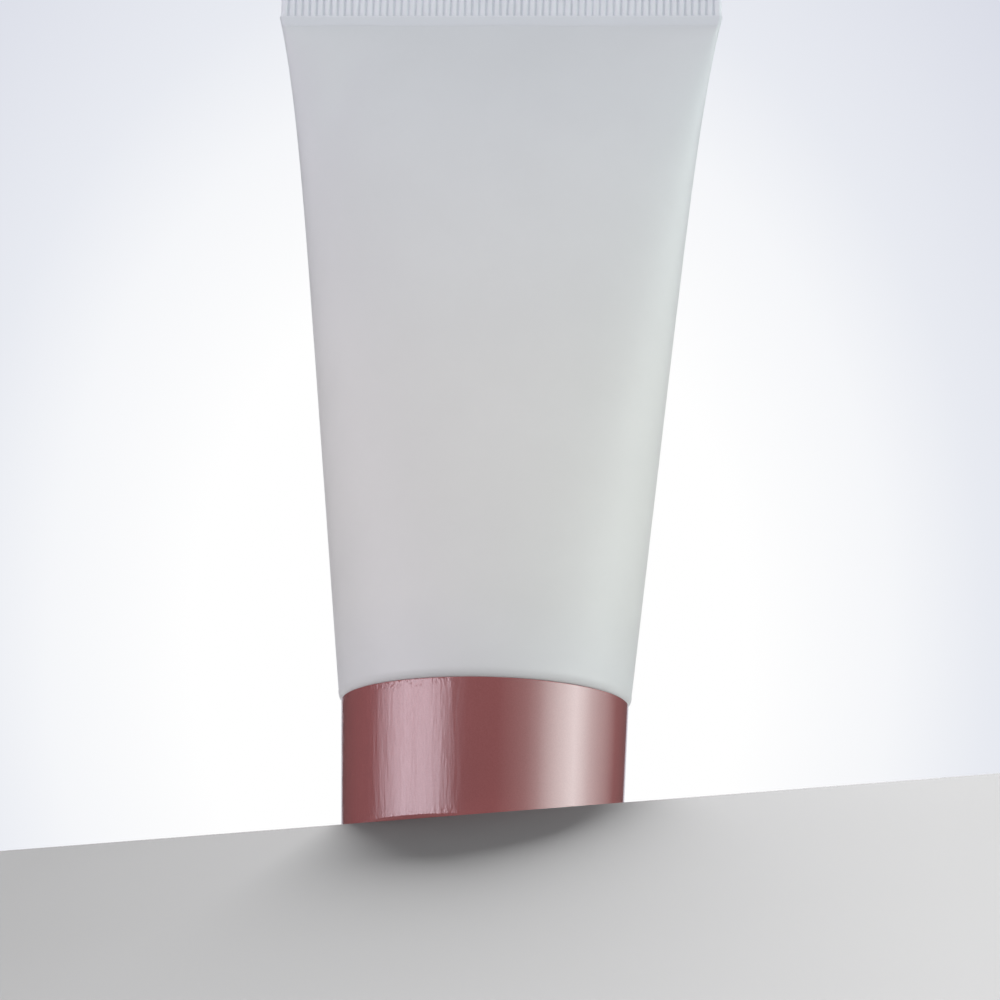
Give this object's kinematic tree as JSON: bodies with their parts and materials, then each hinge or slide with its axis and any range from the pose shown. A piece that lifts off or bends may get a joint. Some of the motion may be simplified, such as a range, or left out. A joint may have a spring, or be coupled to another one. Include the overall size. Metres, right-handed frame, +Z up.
{
  "type": "cream tube",
  "caption": "Flattened cream tube with a ribbed crimp seal, standing head down on a wide, smooth screw cap that turns off its threaded neck.",
  "frame": {"origin": "centre of the cap's flat end, which the tube stands on", "axes": "+Z up along the tube's axis from the cap to the seal, X across the flat seal, and the pictured face looks along -Y"},
  "size_m": [0.0626, 0.04, 0.1238],
  "materials": {
    "sleeve_satin": "satin",
    "head_plastic": "satin",
    "cream": "matte",
    "cap_gloss": "pearl gloss",
    "liner_foam": "matte"
  },
  "bodies": {
    "cap": {"cap": "cap_gloss"},
    "liner": {"cap_liner": "liner_foam"},
    "tube": {"sleeve": "sleeve_satin", "head": "head_plastic", "cream_fill": "cream"}
  },
  "joints": [
    {"name": "tube_turn", "type": "hinge", "parent": "cap", "child": "liner", "pos_m": [0, 0, 0.0026], "axis": [0, 0, 1], "range_deg": [0, 2160]},
    {"name": "tube_lift", "type": "slide", "parent": "liner", "child": "tube", "axis": [0, 0, 1], "range_m": [0, 0.018]}
  ],
  "couplings": [
    {"joint": "tube_lift", "follows": "tube_turn", "m_per_rad": 0.00047746}
  ]
}
